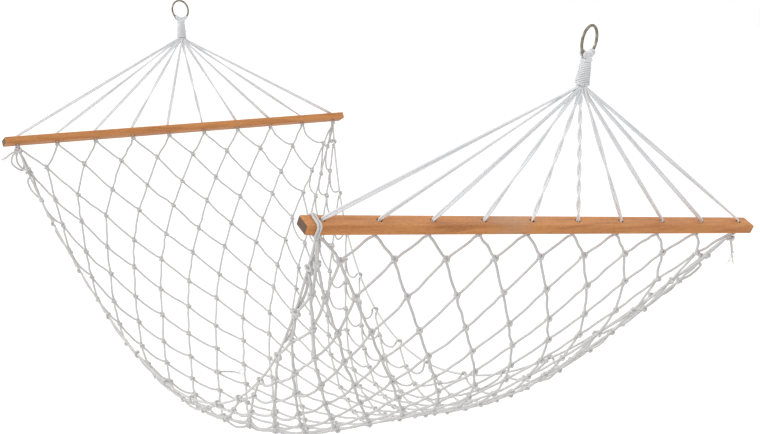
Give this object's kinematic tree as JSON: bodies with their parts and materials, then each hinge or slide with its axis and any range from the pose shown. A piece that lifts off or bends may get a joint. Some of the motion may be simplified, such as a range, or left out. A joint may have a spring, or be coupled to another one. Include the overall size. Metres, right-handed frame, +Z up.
{
  "type": "rope hammock",
  "caption": "Knotted cord net bed hung between wooden spreader bars, each carried by a fan of cords that gathers in a bound eye on a steel ring.",
  "frame": {"origin": "centre of the near ring", "axes": "+Y from the near ring to the far ring, +Z up, +X along the spreader bars"},
  "size_m": [0.8115, 1.2911, 0.7297],
  "materials": {
    "net_cord": "matte twisted cotton cord",
    "clew_cord": "matte twisted cotton cord",
    "binding_cord": "matte tight cord whipping",
    "bar_wood": "satin oiled hardwood",
    "ring_steel": "dull nickel plating"
  },
  "bodies": {
    "near_ring": {"near_ring": "ring_steel"},
    "sling": {"far_clew_cord_1": "clew_cord", "far_clew_cord_10": "clew_cord", "far_clew_cord_2": "clew_cord", "far_clew_cord_3": "clew_cord", "far_clew_cord_4": "clew_cord", "far_clew_cord_5": "clew_cord", "far_clew_cord_6": "clew_cord", "far_clew_cord_7": "clew_cord", "far_clew_cord_8": "clew_cord", "far_clew_cord_9": "clew_cord", "far_eye_left": "clew_cord", "far_eye_right": "clew_cord", "far_neck_core": "clew_cord", "far_stopper_knots": "clew_cord", "far_whipping": "binding_cord", "far_whipping_collar": "binding_cord", "left_selvage_cord": "clew_cord", "near_clew_cord_1": "clew_cord", "near_clew_cord_10": "clew_cord", "near_clew_cord_2": "clew_cord", "near_clew_cord_3": "clew_cord", "near_clew_cord_4": "clew_cord", "near_clew_cord_5": "clew_cord", "near_clew_cord_6": "clew_cord", "near_clew_cord_7": "clew_cord", "near_clew_cord_8": "clew_cord", "near_clew_cord_9": "clew_cord", "near_eye_left": "clew_cord", "near_eye_right": "clew_cord", "near_neck_core": "clew_cord", "near_stopper_knots": "clew_cord", "near_whipping": "binding_cord", "near_whipping_collar": "binding_cord", "net_bed": "net_cord", "right_selvage_cord": "clew_cord"},
    "near_bar": {"near_spreader_bar": "bar_wood", "near_corner_tie": "clew_cord"},
    "far_bar": {"far_spreader_bar": "bar_wood"},
    "far_ring": {"far_ring": "ring_steel"}
  },
  "joints": [
    {"name": "sway", "type": "hinge", "parent": "near_ring", "child": "sling", "pos_m": [0, 0, 0], "axis": [0, 1, 0], "range_deg": [-14, 14]},
    {"name": "far_ring_on_hook", "type": "hinge", "parent": "sling", "child": "far_ring", "pos_m": [0, 1.274, 0], "axis": [0, 1, 0], "range_deg": [-14, 14]},
    {"name": "near_bar_tilt", "type": "hinge", "parent": "sling", "child": "near_bar", "pos_m": [-0.01003, 0.03187, -0.25072], "axis": [0.9986, 0, -0.0523], "range_deg": [-8, 8]},
    {"name": "far_bar_tilt", "type": "hinge", "parent": "sling", "child": "far_bar", "pos_m": [0.01178, 1.25633, -0.25152], "axis": [0.9981, 0, 0.061], "range_deg": [-8, 8]}
  ],
  "couplings": [
    {"joint": "far_ring_on_hook", "follows": "sway", "ratio": -1}
  ]
}
